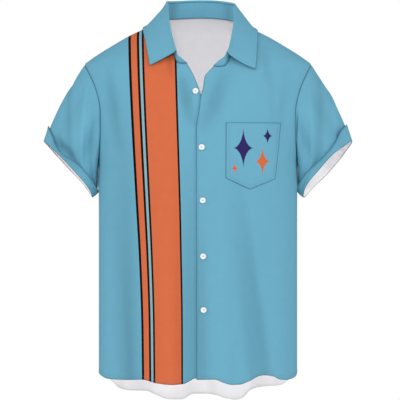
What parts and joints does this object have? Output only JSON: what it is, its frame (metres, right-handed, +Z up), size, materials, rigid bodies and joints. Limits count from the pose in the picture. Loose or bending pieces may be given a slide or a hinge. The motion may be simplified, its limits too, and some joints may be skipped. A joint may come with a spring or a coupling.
{
  "type": "hawaiian shirt",
  "caption": "Short-sleeved camp shirt with a stand-up shirt collar, turned cuffs, a pointed chest pocket and stripes down one front, filled out with nobody in it.",
  "frame": {"origin": "between the shoulders at the base of the neck, where the wearer holds the shirt up", "axes": "+Z up to the collar, -Y out of the buttoned front, +X towards the wearer's left"},
  "size_m": [0.619, 0.2565, 0.811],
  "materials": {
    "cloth": "matt pale blue woven cloth",
    "striped_cloth": "matt pale blue woven cloth with black and orange stripes down it",
    "pocket_cloth": "matt pale blue woven cloth with printed four-point stars",
    "button": "white, half gloss"
  },
  "bodies": {
    "root": {"back": "cloth", "front_right": "striped_cloth", "front_left": "cloth", "sleeve_right": "cloth", "sleeve_left": "cloth", "cuff_right": "cloth", "cuff_left": "cloth", "collar_stand": "cloth", "collar_fall": "cloth", "pocket": "pocket_cloth", "button_1": "button", "button_2": "button", "button_3": "button", "button_4": "button", "button_5": "button"}
  },
  "joints": []
}
